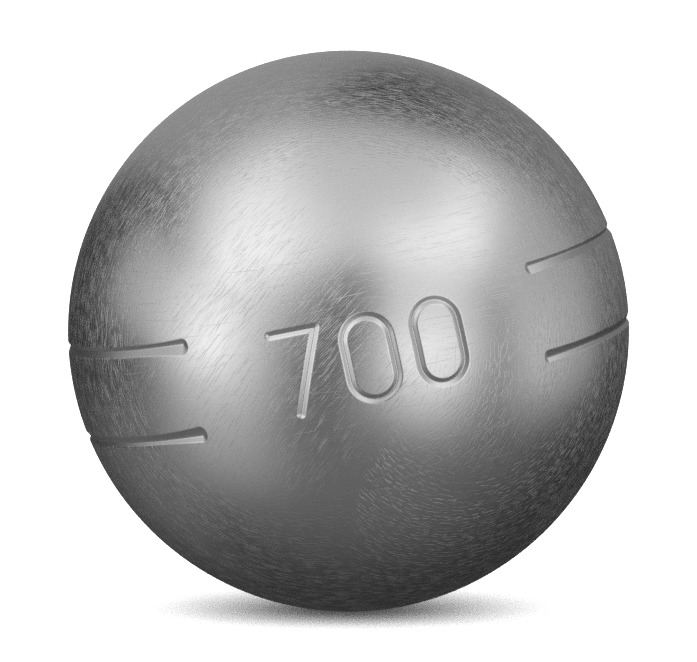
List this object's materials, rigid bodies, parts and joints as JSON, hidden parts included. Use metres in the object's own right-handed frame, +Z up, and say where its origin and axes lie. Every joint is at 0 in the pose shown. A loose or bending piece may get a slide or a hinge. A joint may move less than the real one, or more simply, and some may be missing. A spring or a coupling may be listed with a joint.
{
  "type": "petanque boule",
  "caption": "Hollow steel throwing ball for petanque, made of welded half shells, with scored grooves that break off around its engraved weight.",
  "frame": {"origin": "centre of the ball", "axes": "+Z up, -Y towards the engraved side; the axis that the ball was turned about leans 12.35 degrees from +Z towards -X, as the ball lies in the picture"},
  "size_m": [0.074, 0.074, 0.074],
  "materials": {
    "satin_steel": "turned and tumbled satin steel with fine scratches in every direction"
  },
  "bodies": {
    "root": {"upper_shell": "satin_steel", "lower_shell": "satin_steel", "weld_bead": "satin_steel"}
  },
  "joints": []
}
